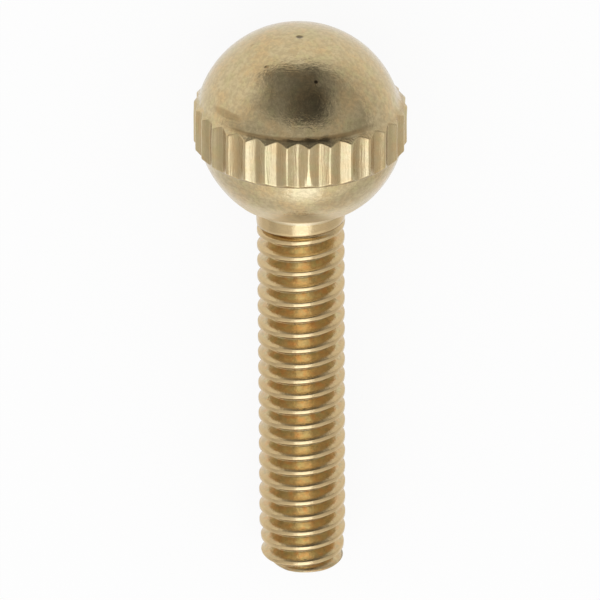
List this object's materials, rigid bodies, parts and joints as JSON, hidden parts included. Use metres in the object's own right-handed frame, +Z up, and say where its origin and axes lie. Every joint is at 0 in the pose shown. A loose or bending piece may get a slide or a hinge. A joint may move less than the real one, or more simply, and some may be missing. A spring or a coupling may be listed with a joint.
{
  "type": "thumb screw",
  "caption": "Turned brass thumb screw with a ball head, a straight-knurled grip band around its middle, a short plain neck and a machine-threaded shank with a chamfered tip.",
  "frame": {"origin": "the middle of the screw's length and width, on the surface that it lies on", "axes": "+Z up from that surface, +Y towards the ball head in plan; the screw's own axis lies in the plane X = 0 and falls 7.8 degrees from the head to the tip"},
  "size_m": [0.01, 0.0272, 0.0101],
  "materials": {
    "turned_brass": "satin, as turned and tumbled, unlacquered"
  },
  "bodies": {
    "root": {"thumb_screw": "turned_brass"}
  },
  "joints": []
}
